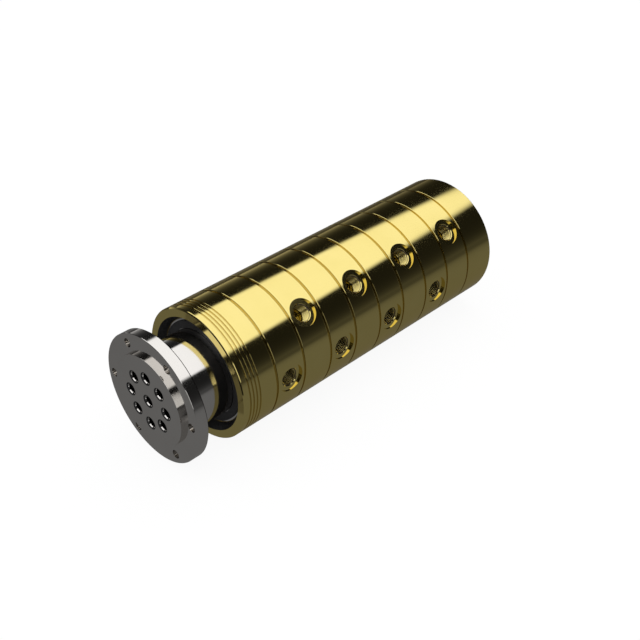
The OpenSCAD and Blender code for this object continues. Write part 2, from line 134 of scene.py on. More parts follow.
class FinishSettings(bpy.types.PropertyGroup):
    """Colours and polish of the metals, rubber and plastics, and of the shade painted in the grooves, seams,
    thread roots and mouths' edges.
    """

    brass: colour_setting("Brass", "#E4D389", "Colour of the polished brass")
    brass_deep: colour_setting("Brass, deeper", "#DDCB7D", "Colour where the brass has begun to dull")
    brass_edge: colour_setting("Brass, aslant", "#FAF0D8", "Tint of the brass seen along its surface")
    brass_roughness: share_setting("Brass roughness", 0.07, "Polish of the barrel")
    # Painted shade: the brass in the grooves and seams is drawn in this darker colour.
    brass_groove_shade: colour_setting("Brass, recessed", "#D8C682", "Colour of the brass in the grooves and seams")
    tapped_roughness: share_setting("Tapped brass roughness", 0.13, "Polish of the brass in the threads")
    # Painted shade: the threads' roots are drawn in this dark brown, with the roughness below.
    thread_root_shade: colour_setting("Thread root", "#28150B", "Colour of the cutting oil in the threads' roots")
    root_shade_roughness: share_setting("Oil roughness", 0.4, "Roughness of the oil in the threads' roots")
    # The black front bore and the painted shade at the mouths' edges both use this colour.
    bore_black_and_edge_shade: colour_setting("Lining", "#161617", "Colour of the black front bore and of the mouths' edges")
    bore_black_and_edge_shade_roughness: share_setting("Lining roughness", 0.45, "Roughness of the black bore and edges")
    steel: colour_setting("Steel", "#D9D6D2", "Colour of the polished shaft")
    steel_deep: colour_setting("Steel, deeper", "#D2CFCB", "Colour where the shaft was handled")
    steel_edge: colour_setting("Steel, aslant", "#F4F2F0", "Tint of the steels seen along their surface")
    steel_roughness: share_setting("Steel roughness", 0.07, "Polish of the shaft")
    race: colour_setting("Bearing steel", "#D4D2CF", "Colour of the ground races and balls")
    race_deep: colour_setting("Bearing steel, deeper", "#C9C7C5", "Colour of the oil film on the races")
    black_steel: colour_setting("Blackened steel", "#3A3A3C", "Colour of the screws and retaining rings")
    black_steel_worn: colour_setting("Blackened steel, worn", "#58585A", "Where the blackening has rubbed")
    rubber: colour_setting("Rubber", "#1A1A1B", "Colour of the seals and O-rings")
    rubber_bloom: colour_setting("Rubber, bloomed", "#242425", "Colour of the pale bloom on the rubber")
    ptfe: colour_setting("Filled PTFE", "#5E4A33", "Colour of the slide seals")
    ptfe_bronze: colour_setting("Bronze filler", "#8A6A3E", "Colour of the grains in the slide seals")
    cage: colour_setting("Cage", "#B79B6C", "Colour of the moulded ball cages")
    cage_deep: colour_setting("Cage, deeper", "#A48858", "Colour of the flow lines in the cages")


class RecessSettings(bpy.types.PropertyGroup):
    """Where painted shade darkens the brass in the grooves and seams, and where the front bore is drawn
    black.
    """

    rim: length_setting("Rim", 49.75 * MM, "Distance from the axis under which a groove or seam begins")
    floor: length_setting("Floor", 48.4 * MM, "Distance from the axis of the deepest seam")
    groove_front: length_setting("First groove", 42.5 * MM, "Where the grooves begin along the axis")
    groove_rear: length_setting("Last groove", 54.0 * MM, "Where the grooves end along the axis")
    joint: length_setting("First joint", 68 * MM, "Where the first seam lies along the axis")
    ring: length_setting("Ring", 26 * MM, "Distance from one seam to the next")
    seam: length_setting("Seam", 1.3 * MM, "How far a seam reaches to each side of its joint")
    bore: length_setting("Bore", 43.35 * MM, "Radius of the front bore at its mouth")
    bore_end: length_setting("Bore end", 44.2 * MM, "Where the black bore ends along the axis")


class MouthSettings(bpy.types.PropertyGroup):
    """Where painted shade blackens the edge of each passage's mouth."""

    count: IntProperty(name="Mouths", description="Number of mouths on the circle", default=8)
    circle: length_setting("Circle", 18.9 * MM, "Radius of the circle that the mouths lie on")
    inner: length_setting("Edge, inside", 4.2 * MM, "Distance from a mouth's axis at which its edge begins")
    outer: length_setting("Edge, outside", 5.0 * MM, "Distance from a mouth's axis at which its edge ends")
    face: length_setting("Face", -3.25 * MM, "Place along the axis just before the boss's face")
    root: length_setting("Root", 0.0, "Place along the axis at the boss's root")


class ThreadSettings(bpy.types.PropertyGroup):
    """The ports' parallel pipe thread of 55 degrees."""

    pitch: length_setting("Pitch", 1.337 * MM, "Distance from one turn to the next")
    ridge: length_setting("Ridge", 0.856 * MM, "Height of the thread from root to crest")
    chamfer: length_setting("Chamfer", 0.45 * MM, "Width of the chamfer at the mouth")
    seat: length_setting("Spot face", 48.2 * MM, "Distance of the spot face's floor from the barrel's axis")
    fit: length_setting("Fit", 0.01 * MM, "Gap that keeps the thread's roots clear of the port's wall")
    lead: angle_setting("Lead-in", 30.0, "Slope of the cone that opens the first turn, from the spot face")
    run_out: FloatProperty(name="Run-out", description="Turns over which the thread fades", default=1.2)
    # Where the painted shade in the roots begins, and where it is full, as shares from crest to root.
    root_shade_start: share_setting("Oil, edge", 0.35, "Share of the way from crest to root where the oil begins")
    root_shade_full: share_setting("Oil, full", 0.75, "Share of the way from crest to root where the oil is thick")
    sides: IntProperty(name="Sides", description="Steps round one turn", default=96)
    steps: IntProperty(name="Steps", description="Steps along one pitch", default=24)


class StageSettings(bpy.types.PropertyGroup):
    """Camera, floor, light and the cards that the polish mirrors."""

    camera: place_setting("Camera", (-0.2892, -0.4440, 0.4258), "Where the camera stands")
    aim: place_setting("Aim", (0.142007, -0.016996, 0.002328), "Point that the camera looks at")
    lens: FloatProperty(name="Lens", description="Focal length", default=56.42, unit="CAMERA")
    floor: colour_setting("Floor", "#F7F7F7", "Colour of the pale floor")
    floor_glow: share_setting("Floor glow", 0.93, "Share of the floor that shows as plain white")
    ambient: share_setting("Ambient", 0.35, "Strength of the world for diffuse light")
    lamp_power: FloatProperty(name="Lamp", description="Power of the lamp", default=950.0, unit="POWER")
    room: length_setting("Room", 8.5, "Radius of the dark cloth round the object")
    box_height: length_setting("Soft box height", 6.4, "Height of the soft box over the barrel's axis")
    box_radius: length_setting("Soft box radius", 8.4, "Radius of the soft box's edge")
    box_feather: length_setting("Soft box feather", 1.45, "Width of the soft box's fading rim")
    box_glow: strength_setting("Soft box", 1.31, "Strength of the soft box in the polish")
    table_inner: length_setting("Table, near", 0.2, "Distance from the object to which the table is bright")
    table_outer: length_setting("Table, far", 0.9, "Distance from the object at which the table is dim")
    table_glow: strength_setting("Table glow", 0.16, "Strength of the table near the object in the polish")
    table_dim: strength_setting("Table, dim", 0.0625, "Strength of the table far off in the polish")
    cloth_base: strength_setting("Cloth", 0.0128, "Strength of the dark cloth in the polish")
    cloth_near: strength_setting("Cloth, near side", 0.056, "Glow at the cloth's foot on the ports' side")
    cloth_far: strength_setting("Cloth, far side", 0.7, "Glow at the cloth's foot on the other side")
    cloth_turn: share_setting("Cloth turn", 0.58, "Share of the room's radius where the far side begins")
    cloth_rise: length_setting("Cloth rise", 0.95, "Height over which that glow falls to a third")
    card_side: length_setting("Dark card", 0.6, "Side of the dark card before the flange")
    card_start: place_setting("Dark card start", (-0.0015, -0.0335), "Where the line of its edge begins")
    card_gap: length_setting("Dark card gap", 0.115, "Distance along that line at which the card begins")
    card_turn: angle_setting("Dark card turn", 242.0, "Direction of that line, from the X axis")
    card_dim: strength_setting("Dark card glow", 0.012, "Strength of the dark card in the polish")
    patch_place: place_setting("Patch", (-0.07, -0.086), "Middle of the lit patch on the table")
    patch_inner: length_setting("Patch, lit", 0.014, "Radius of the lit patch")
    patch_outer: length_setting("Patch, edge", 0.034, "Radius at which the patch has faded")
    patch_glow: strength_setting("Patch glow", 1.0, "Strength of the patch in the polish")
    panel_away: length_setting("Panel distance", 7.0, "Distance of the pale panel from the axis")
    panel_left: length_setting("Panel, left", -3.9, "Place of the panel's left edge along the axis")
    panel_right: length_setting("Panel, right", -0.22, "Place of the panel's right edge along the axis")
    panel_height: length_setting("Panel height", 4.3, "Height of the panel over the floor")
    panel_glow: strength_setting("Panel", 1.1, "Strength of the panel's left end in the polish")
    panel_dim: strength_setting("Panel, right end", 0.18, "Strength of the panel's right end in the polish")
    strip_near: length_setting("Strip, near", 0.35, "Distance at which the pale strip on the table begins")
    strip_far: length_setting("Strip, far", 2.4, "Distance at which that strip ends")
    strip_width: length_setting("Strip width", 0.045, "Width of that strip")
    strip_turn: angle_setting("Strip turn", 247.5, "Direction of that strip, from the X axis")


def add(tree, kind, inputs=None, **settings):
    """Adds a node of that kind. Inputs hold values, or the outputs that are linked to them."""
    made = tree.nodes.new(kind)
    for name, value in settings.items():
        setattr(made, name, value)
    for name, value in (inputs or {}).items():
        if isinstance(value, bpy.types.NodeSocket):
            tree.links.new(value, made.inputs[name])
        else:
            made.inputs[name].default_value = value
    return made


def new_material(name):
    """A material and its empty tree."""
    material = bpy.data.materials.new(name)
    material.use_nodes = True
    material.node_tree.nodes.clear()
    return material, material.node_tree


def opaque(colour):
    """A colour setting as the four numbers that a socket takes."""
    return (*colour, 1.0)


def lathe_marks(tree, line):
    """Rings on every turned face, and the spot where they lie.

    The rings are noise over (distance along the axis, distance from it), one lump a line wide.
    """
    place = add(tree, "ShaderNodeTexCoord").outputs["Object"]
    along = add(tree, "ShaderNodeSeparateXYZ", {0: place}).outputs["X"]
    across = add(tree, "ShaderNodeVectorMath", {0: place, 1: (0, 1, 1)}, operation="MULTIPLY")
    radius = add(tree, "ShaderNodeVectorMath", {0: across.outputs[0]}, operation="LENGTH").outputs["Value"]
    turned = add(tree, "ShaderNodeCombineXYZ", {"X": along, "Y": radius})
    marks = add(tree, "ShaderNodeTexNoise", {"Vector": turned.outputs[0], "Scale": 1 / line, "Detail": 2.0})
    return Spot(place, along, radius), marks.outputs["Fac"]


def turned_metal(name, colour, deeper, aslant, *, roughness, spread, line, depth, patch, cover=None):
    """Metal with rings a line wide and a depth deep, whose colour and polish shift a little by the patch.

    A cover is a function that dresses part of the metal in something else.
    """
    material, tree = new_material(name)
    spot, marks = lathe_marks(tree, line)
    film = add(tree, "ShaderNodeTexNoise", {"Vector": spot.place, "Scale": 1 / patch, "Detail": 3.0})
    tint = add(
        tree,
        "ShaderNodeMix",
        {"Factor": film.outputs["Fac"], MIX_FIRST: opaque(colour), MIX_SECOND: opaque(deeper)},
        data_type="RGBA",
    )
    polish = add(
        tree,
        "ShaderNodeMapRange",
        {
            "Value": film.outputs["Fac"],
            "From Min": NOISE_LOW,
            "From Max": NOISE_HIGH,
            "To Min": roughness,
            "To Max": roughness + spread,
        },
    )
    relief = add(tree, "ShaderNodeBump", {"Height": marks, "Distance": depth})
    shader = add(
        tree,
        "ShaderNodeBsdfPrincipled",
        {
            "Base Color": tint.outputs[MIX_RESULT],
            "Metallic": 1.0,
            "Roughness": polish.outputs["Result"],
            "Specular Tint": opaque(aslant),
            "Normal": relief.outputs["Normal"],
        },
    )
    made = shader.outputs[0]
    if cover:
        made = cover(tree, made, spot)
    add(tree, "ShaderNodeOutputMaterial", {"Surface": made})
    return material


def between(tree, value, low, high):
    """1 where a value lies between two others, and 0 elsewhere."""
    above = add(tree, "ShaderNodeMath", {0: value, 1: low}, operation="GREATER_THAN")
    below = add(tree, "ShaderNodeMath", {0: value, 1: high}, operation="LESS_THAN")
    both = add(tree, "ShaderNodeMath", {0: above.outputs[0], 1: below.outputs[0]}, operation="MULTIPLY")
    return both.outputs[0]


def black_bore_and_edge_shade(tree, finish):
    """Matt black, for the front bore and for the painted shade at the mouths' edges."""
    black = add(
        tree,
        "ShaderNodeBsdfPrincipled",
        {"Base Color": opaque(finish.bore_black_and_edge_shade), "Roughness": finish.bore_black_and_edge_shade_roughness},
    )
    return black.outputs[0]


def groove_shade_and_black_bore(tree, polished, spot, recess, finish):
    """Painted shade, a darker brass, in the grooves and in the seams, which repeat ring by ring, and a black
    front bore.
    """
    grooves = between(tree, spot.along, recess.groove_front, recess.groove_rear)
    from_first = add(tree, "ShaderNodeMath", {0: spot.along, 1: recess.joint}, operation="SUBTRACT")
    from_joint = add(
        tree, "ShaderNodeMath", {0: from_first.outputs[0], 1: recess.ring / 2}, operation="PINGPONG"
    )
    seams = add(tree, "ShaderNodeMath", {0: from_joint.outputs[0], 1: recess.seam}, operation="LESS_THAN")
    cuts = add(tree, "ShaderNodeMath", {0: grooves, 1: seams.outputs[0]}, operation="MAXIMUM")
    depth = between(tree, spot.radius, recess.floor, recess.rim)
    cut_place = add(tree, "ShaderNodeMath", {0: cuts.outputs[0], 1: depth}, operation="MULTIPLY")
    # Painted shade: the darker brass of the grooves and seams.
    deeper = add(
        tree,
        "ShaderNodeBsdfPrincipled",
        {"Base Color": opaque(finish.brass_groove_shade), "Metallic": 1.0, "Roughness": finish.brass_roughness},
    )
    cut = add(tree, "ShaderNodeMixShader", {0: cut_place.outputs[0], 1: polished, 2: deeper.outputs[0]})
    before = add(tree, "ShaderNodeMath", {0: spot.along, 1: recess.bore_end}, operation="LESS_THAN")
    within = add(tree, "ShaderNodeMath", {0: spot.radius, 1: recess.bore}, operation="LESS_THAN")
    bore = add(tree, "ShaderNodeMath", {0: before.outputs[0], 1: within.outputs[0]}, operation="MULTIPLY")
    black = black_bore_and_edge_shade(tree, finish)
    lined = add(tree, "ShaderNodeMixShader", {0: bore.outputs[0], 1: cut.outputs[0], 2: black})
    return lined.outputs[0]


def from_mouth(tree, spot, mouth):
    """Distance from the nearest passage's axis.

    The angle round the shaft is folded to half a step between mouths, so that one mouth on the circle
    stands for all, and the last mouth lies on the axis.
    """
    part = add(tree, "ShaderNodeSeparateXYZ", {0: spot.place})
    turn = add(
        tree, "ShaderNodeMath", {0: part.outputs["Y"], 1: part.outputs["Z"]}, operation="ARCTAN2"
    )
    half_step = FULL_TURN / mouth.count / 2
    fold = add(tree, "ShaderNodeMath", {0: turn.outputs[0], 1: half_step}, operation="PINGPONG")
    cosine = add(tree, "ShaderNodeMath", {0: fold.outputs[0]}, operation="COSINE")
    sine = add(tree, "ShaderNodeMath", {0: fold.outputs[0]}, operation="SINE")
    outwards = add(
        tree,
        "ShaderNodeMath",
        {0: cosine.outputs[0], 1: spot.radius, 2: -mouth.circle},
        operation="MULTIPLY_ADD",
    )
    sideways = add(tree, "ShaderNodeMath", {0: sine.outputs[0], 1: spot.radius}, operation="MULTIPLY")
    offset = add(tree, "ShaderNodeCombineXYZ", {"X": outwards.outputs[0], "Y": sideways.outputs[0]})
    away = add(tree, "ShaderNodeVectorMath", {0: offset.outputs[0]}, operation="LENGTH")
    nearest = add(tree, "ShaderNodeMath", {0: away.outputs["Value"], 1: spot.radius}, operation="MINIMUM")
    return nearest.outputs[0]


def painted_mouth_edge_shade(tree, polished, spot, mouth, finish):
    """Painted shade: a black ring round each mouth, on its break and the outer part of its countersink."""
    ring = between(tree, from_mouth(tree, spot, mouth), mouth.inner, mouth.outer)
    boss = between(tree, spot.along, mouth.face, mouth.root)
    edge = add(tree, "ShaderNodeMath", {0: ring, 1: boss}, operation="MULTIPLY")
    black = black_bore_and_edge_shade(tree, finish)
    edge_shaded = add(tree, "ShaderNodeMixShader", {0: edge.outputs[0], 1: polished, 2: black})
    return edge_shaded.outputs[0]


def painted_root_shade(tree, tapped, spot, thread, finish):
    """Painted shade: dark brown towards the threads' roots.

    It needs no spot, because the mesh's own attribute marks the roots.
    """
    root = add(tree, "ShaderNodeAttribute", attribute_name="root")
    share = add(
        tree,
        "ShaderNodeMapRange",
        {"Value": root.outputs["Fac"], "From Min": thread.root_shade_start, "From Max": thread.root_shade_full},
    )
    root_shade_shader = add(
        tree,
        "ShaderNodeBsdfPrincipled",
        {"Base Color": opaque(finish.thread_root_shade), "Roughness": finish.root_shade_roughness},
    )
    dark = add(tree, "ShaderNodeMixShader", {0: share.outputs[0], 1: tapped, 2: root_shade_shader.outputs[0]})
    return dark.outputs[0]


def moulded(name, colour, second, *, roughness, grain, depth):
    """Non-metal with a grain of that size and depth, whose two colours follow the grain."""
    material, tree = new_material(name)
    place = add(tree, "ShaderNodeTexCoord").outputs["Object"]
    noise = add(tree, "ShaderNodeTexNoise", {"Vector": place, "Scale": 1 / grain, "Detail": 4.0})
    tint = add(
        tree,
        "ShaderNodeMix",
        {"Factor": noise.outputs["Fac"], MIX_FIRST: opaque(colour), MIX_SECOND: opaque(second)},
        data_type="RGBA",
    )
    gloss = add(
        tree,
        "ShaderNodeMapRange",
        {
            "Value": noise.outputs["Fac"],
            "From Min": NOISE_LOW,
            "From Max": NOISE_HIGH,
            "To Min": roughness,
            "To Max": roughness + GRAIN_SPREAD,
        },
    )
    relief = add(tree, "ShaderNodeBump", {"Height": noise.outputs["Fac"], "Distance": depth})
    shader = add(
        tree,
        "ShaderNodeBsdfPrincipled",
        {
            "Base Color": tint.outputs[MIX_RESULT],
            "Roughness": gloss.outputs["Result"],
            "Normal": relief.outputs["Normal"],
        },
    )
    add(tree, "ShaderNodeOutputMaterial", {"Surface": shader.outputs[0]})
    return material


def finish_slot(slot, material):
    """Gives the material to every solid that the record puts in that slot."""
    nodes = [part["node"] for part in frame["record"]["subparts"] if part["material_slot"] == slot]
    if not nodes:
        raise RuntimeError(f"The record has no solid in the slot {slot}.")
    for node in nodes:
        mesh = frame["nodes"][node].data
        mesh.materials.clear()
        mesh.materials.append(material)


def surface(name, points, wrap_rows, wrap_columns, smooth=True):
    """A mesh from a grid of points.

    Each point is joined to the next in its row and in its column, and the last to the first where it wraps.
    """
    rows, columns = points.shape[:2]
    row = np.arange(rows if wrap_rows else rows - 1)[:, None]
    column = np.arange(columns if wrap_columns else columns - 1)[None, :]
    next_row = (row + 1) % rows
    next_column = (column + 1) % columns
    corners = (
        row * columns + column,
        next_row * columns + column,
        next_row * columns + next_column,
        row * columns + next_column,
    )
    faces = np.stack(corners, axis=-1).reshape(-1, 4)
    mesh = bpy.data.meshes.new(name)
    mesh.from_pydata(points.reshape(-1, 3), [], faces)
    mesh.polygons.foreach_set("use_smooth", np.full(len(faces), smooth))
    mesh.update()
    piece = bpy.data.objects.new(name, mesh)
    bpy.context.scene.collection.objects.link(piece)
    return piece


def thread_wall(thread, wall, bottom):
    """Radius and height over angle and depth of a thread cut in a hole.

    Radius = wall - ridge times a triangle wave of (depth over pitch + angle over a turn). The wave is cut off
    a sixth of its height from both ends, as the crests and roots of a pipe thread are. It is cut back by the
    lead-in's cone, wall - depth over the tangent of its slope, and fades at the bottom. A plain outer wall
    closes it into a shell.
    """
    mouth = thread.seat - thread.chamfer
    count = int(round((mouth - bottom) / thread.pitch * thread.steps)) + 1
    height = np.linspace(mouth, bottom, count)[None, :]
    angle = np.arange(thread.sides)[:, None] * FULL_TURN / thread.sides
    turns = (mouth - height) / thread.pitch + angle / FULL_TURN
    fade = np.clip((height - bottom) / (thread.run_out * thread.pitch), 0, 1)
    triangle = np.abs(2 * (turns % 1) - 1)
    wave = np.clip((triangle - TRUNCATION) / (1 - 2 * TRUNCATION), 0, 1)
    cut = wall - thread.ridge * fade * wave
    cone = wall - (mouth - height) / np.tan(thread.lead)
    inner = np.clip(np.maximum(cut, cone), 0, wall - thread.fit)
    outer = np.full((thread.sides, 2), wall - SHELL_GAP * thread.fit)
    radius = np.hstack([inner, outer])
    level = np.hstack([height, [[bottom, mouth]]]) + 0 * angle
    return angle, radius, level


class FinishBrass(bpy.types.Operator):
    """Finishes the barrel's rings and the end cover as polished brass"""

    bl_idname = "union.finish_brass"
    bl_label = "Finish the brass barrel"

    def execute(self, context):
        finish = context.scene.union_finish
        # Free-cutting brass, turned and mirror polished: a warm mirror with faint rings and a breath of haze.
        # Turning lines are about 0.1 mm apart; they are drawn 0.9 mm apart so that they can show.
        brass = turned_metal(
            "turned_and_polished_brass",
            finish.brass,
            finish.brass_deep,
            finish.brass_edge,
            roughness=finish.brass_roughness,
            spread=0.04,
            line=0.9 * MM,
            depth=0.00015 * MM,
            patch=24 * MM,
            # The cover paints shade in the grooves and seams and draws the front bore black.
            cover=partial(groove_shade_and_black_bore, recess=context.scene.union_recess, finish=finish),
        )
        finish_slot("polished_brass", brass)
        return {"FINISHED"}


class FinishShaft(bpy.types.Operator):
    """Finishes the shaft with its flange, spigot and neck as polished steel"""

    bl_idname = "union.finish_shaft"
    bl_label = "Finish the steel shaft"

    def execute(self, context):
        finish = context.scene.union_finish
        # Hardened steel, ground and polished: a neutral mirror with the polish of the brass.
        # Grinding lines are about 0.05 mm apart; they are drawn 0.8 mm apart so that they can show.
        steel = turned_metal(
            "ground_and_polished_steel",
            finish.steel,
            finish.steel_deep,
            finish.steel_edge,
            roughness=finish.steel_roughness,
            spread=0.04,
            line=0.8 * MM,
            depth=0.00015 * MM,
            patch=18 * MM,
            # The cover paints shade as a black ring round each mouth.
            cover=partial(painted_mouth_edge_shade, mouth=context.scene.union_mouth, finish=finish),
        )
        finish_slot("polished_steel", steel)
        return {"FINISHED"}


class FinishBearings(bpy.types.Operator):
    """Finishes the races and balls as ground bearing steel and the cages as moulded polyamide"""

    bl_idname = "union.finish_bearings"
    bl_label = "Finish the bearings"

    def execute(self, context):
        finish = context.scene.union_finish
        # Bearing steel, ground: a greyer sheen than the shaft, with the grinding wheel's rings.
        # The rings are under 0.05 mm apart, and are drawn 0.5 mm apart so that they can show.
        races = turned_metal(
            "ground_bearing_steel",
            finish.race,
            finish.race_deep,
            finish.steel_edge,
            roughness=0.1,
            spread=0.05,
            line=0.5 * MM,
            depth=0.0002 * MM,
            patch=9 * MM,
        )
        # Glass-filled polyamide, moulded: a dull tan with flow lines about a millimetre wide.
        cages = moulded(
            "moulded_polyamide",
            finish.cage,
            finish.cage_deep,
            roughness=0.42,
            grain=1.2 * MM,
            depth=0.01 * MM,
        )
        finish_slot("bearing_steel", races)
        finish_slot("cage_plastic", cages)
        return {"FINISHED"}


class FinishSeals(bpy.types.Operator):
    """Finishes the bearing seals and O-rings as moulded rubber and the slide seals as filled PTFE"""

    bl_idname = "union.finish_seals"
    bl_label = "Finish the seals"

    def execute(self, context):
        finish = context.scene.union_finish
        # Nitrile rubber, moulded: near black, satin, with a fine grain and a trace of bloom.
        rubber = moulded(
            "moulded_nitrile_rubber",
            finish.rubber,
            finish.rubber_bloom,
            roughness=0.42,
            grain=0.6 * MM,
            depth=0.008 * MM,
        )
        # Bronze-filled PTFE, turned: brown and waxy, speckled with bronze grains.
        # The grains are under 0.1 mm across, and are drawn 0.4 mm across so that they can show.
        ptfe = moulded(
            "turned_bronze_filled_ptfe",
            finish.ptfe,
            finish.ptfe_bronze,
            roughness=0.4,
            grain=0.4 * MM,
            depth=0.004 * MM,
        )
        finish_slot("black_rubber", rubber)
        finish_slot("filled_ptfe", ptfe)
        return {"FINISHED"}


class FinishFasteners(bpy.types.Operator):
    """Finishes the tie bolts and the retaining rings as blackened steel"""

    bl_idname = "union.finish_fasteners"
    bl_label = "Finish the fasteners"

    def execute(self, context):
        finish = context.scene.union_finish
        # Alloy steel, blackened and oiled: dark, with a soft sheen that is brighter where it has rubbed.
        # The marks under the blackening are about 0.1 mm wide, and are drawn 0.4 mm wide.
        screws = turned_metal(
            "blackened_alloy_steel",
            finish.black_steel,
            finish.black_steel_worn,
            finish.steel_edge,
            roughness=0.3,
            spread=0.12,
            line=0.4 * MM,
            depth=0.0006 * MM,
            patch=4 * MM,
        )
        # Spring steel, stamped and phosphated: more matt than the screws, with a coat of fine crystals.
        # The crystals are under 0.05 mm across, and are drawn 0.5 mm across.
        springs = turned_metal(
            "phosphated_spring_steel",
            finish.black_steel,
            finish.black_steel_worn,
            finish.steel_edge,
            roughness=0.42,
            spread=0.1,
            line=0.5 * MM,
            depth=0.001 * MM,
            patch=2 * MM,
        )
        finish_slot("screw_steel", screws)
        finish_slot("spring_steel", springs)
        return {"FINISHED"}


class CutPortThreads(bpy.types.Operator):
    """Cuts the pipe thread in each of the eight ports"""

    bl_idname = "union.cut_port_threads"
    bl_label = "Cut the port threads"

    def execute(self, context):
        if not ports:
            raise RuntimeError("The record has no port to cut a thread in.")
        thread = context.scene.union_thread
        finish = context.scene.union_finish
        # Brass cut by a tap: the same colour with less polish, and painted shade, dark brown, in the roots
        # between the turns.
        # The tap's marks are a few hundredths of a millimetre wide, and are drawn 0.3 mm wide.
        brass = turned_metal(
            "tapped_brass",
            finish.brass,
            finish.brass_deep,
            finish.brass_edge,
            roughness=finish.tapped_roughness,
            spread=0.08,
            line=0.3 * MM,
            depth=0.0004 * MM,
            patch=3 * MM,
            # The cover paints shade in the threads' roots.
            cover=partial(painted_root_shade, thread=thread, finish=finish),
        )
        for port in ports:
            wall = port["dims"]["r_mm"] * MM
            bottom = thread.seat - thread.chamfer - port["dims"]["length_mm"] * MM + thread.fit
            angle, radius, level = thread_wall(thread, wall, bottom)
            outwards = np.array(port["axis"], float)
            sideways = np.array([1.0, 0.0, 0.0])
            upwards = np.cross(outwards, sideways)
            middle = port["pos_m"][0] * sideways
            points = (
                middle
                + level[..., None] * outwards
                + (radius * np.cos(angle))[..., None] * sideways
                + (radius * np.sin(angle))[..., None] * upwards
            )
            piece = surface("thread_of_" + port["name"], points, True, True)
            # The attribute is 0 at the crests and 1 at the roots.
            share = np.clip((radius - wall) / thread.ridge + 1, 0, 1)
            root = piece.data.attributes.new("root", "FLOAT", "POINT")
            root.data.foreach_set("value", share.ravel())
            piece.data.materials.append(brass)
            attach(piece, "housing")
        return {"FINISHED"}


def seen_rays(tree):
    """1 for rays from the camera, a reflection or a pass through glass, and 0 for light that spreads."""
    path = add(tree, "ShaderNodeLightPath").outputs
    direct = add(
        tree, "ShaderNodeMath", {0: path["Is Camera Ray"], 1: path["Is Glossy Ray"]}, operation="MAXIMUM"
    )
    seen = add(
        tree, "ShaderNodeMath", {0: direct.outputs[0], 1: path["Is Transmission Ray"]}, operation="MAXIMUM"
    )
    return seen.outputs[0]


def white_world(stage):
    """White where it is seen, and a gentle light elsewhere."""
    world = bpy.data.worlds.new("white_room")
    world.use_nodes = True
    tree = world.node_tree
    tree.nodes.clear()
    strength = add(
        tree, "ShaderNodeMapRange", {"Value": seen_rays(tree), "To Min": stage.ambient, "To Max": 1.0}
    )
    white = add(
        tree, "ShaderNodeBackground", {"Color": (1, 1, 1, 1), "Strength": strength.outputs["Result"]}
    )
    add(tree, "ShaderNodeOutputWorld", {"Surface": white.outputs[0]})
    return world


def pale_floor(stage):
    """Matt white that mostly shows as plain white and keeps the object's soft shadow in the rest."""
    material, tree = new_material("matt_white_floor")
    share = add(tree, "ShaderNodeMath", {0: seen_rays(tree), 1: stage.floor_glow}, operation="MULTIPLY")
    matt = add(tree, "ShaderNodeBsdfDiffuse", {"Color": opaque(stage.floor)})
    white = add(tree, "ShaderNodeEmission", {"Color": (1, 1, 1, 1), "Strength": 1.0})
    mixed = add(tree, "ShaderNodeMixShader", {0: share.outputs[0], 1: matt.outputs[0], 2: white.outputs[0]})
    add(tree, "ShaderNodeOutputMaterial", {"Surface": mixed.outputs[0]})
    return material


def end_in_glow(tree, strength):
    """Ends a card's tree in a glow. The strength is a value or a link."""
    glow = add(tree, "ShaderNodeEmission", {"Strength": strength})
    add(tree, "ShaderNodeOutputMaterial", {"Surface": glow.outputs[0]})


def even_card(name, strength):
    """A card with one glow all over."""
    material, tree = new_material(name)
    end_in_glow(tree, strength)
    return material


def disc_card(name, centre, inner, outer, middle_strength, rim_strength):
    """A card whose glow runs smoothly from one strength at the inner radius to another at the outer one."""
    material, tree = new_material(name)
    place = add(tree, "ShaderNodeTexCoord").outputs["Object"]
    distance = add(tree, "ShaderNodeVectorMath", {0: place, 1: centre}, operation="DISTANCE")
    strength = add(
        tree,
        "ShaderNodeMapRange",
        {
            "Value": distance.outputs["Value"],
            "From Min": inner,
            "From Max": outer,
            "To Min": middle_strength,
            "To Max": rim_strength,
        },
        interpolation_type="SMOOTHSTEP",
    )
    end_in_glow(tree, strength.outputs["Result"])
    return material


def dark_cloth(name, stage):
    """Dark cloth with light from below, brighter on the far side.

    Strength = base + glow times e to the power of (-height over rise).
    """
    material, tree = new_material(name)
    place = add(tree, "ShaderNodeTexCoord").outputs["Object"]
    part = add(tree, "ShaderNodeSeparateXYZ", {0: place})
    climb = add(
        tree, "ShaderNodeMath", {0: part.outputs["Z"], 1: -1 / stage.cloth_rise}, operation="MULTIPLY"
    )
    fall = add(tree, "ShaderNodeMath", {0: climb.outputs[0]}, operation="EXPONENT")
    side = add(
        tree,
        "ShaderNodeMapRange",
        {
            "Value": part.outputs["Y"],
            "From Min": stage.cloth_turn * stage.room,
            "From Max": stage.room,
            "To Min": stage.cloth_near,
            "To Max": stage.cloth_far,
        },
        interpolation_type="SMOOTHSTEP",
    )
    strength = add(
        tree,
        "ShaderNodeMath",
        {0: side.outputs["Result"], 1: fall.outputs[0], 2: stage.cloth_base},
        operation="MULTIPLY_ADD",
    )
    end_in_glow(tree, strength.outputs[0])
    return material


def graded_panel(name, stage):
    """A panel whose glow runs smoothly from its left end to its right one."""
    material, tree = new_material(name)
    place = add(tree, "ShaderNodeTexCoord").outputs["Object"]
    part = add(tree, "ShaderNodeSeparateXYZ", {0: place})
    strength = add(
        tree,
        "ShaderNodeMapRange",
        {
            "Value": part.outputs["X"],
            "From Min": stage.panel_left,
            "From Max": stage.panel_right,
            "To Min": stage.panel_glow,
            "To Max": stage.panel_dim,
        },
        interpolation_type="SMOOTHSTEP",
    )
    end_in_glow(tree, strength.outputs["Result"])
    return material


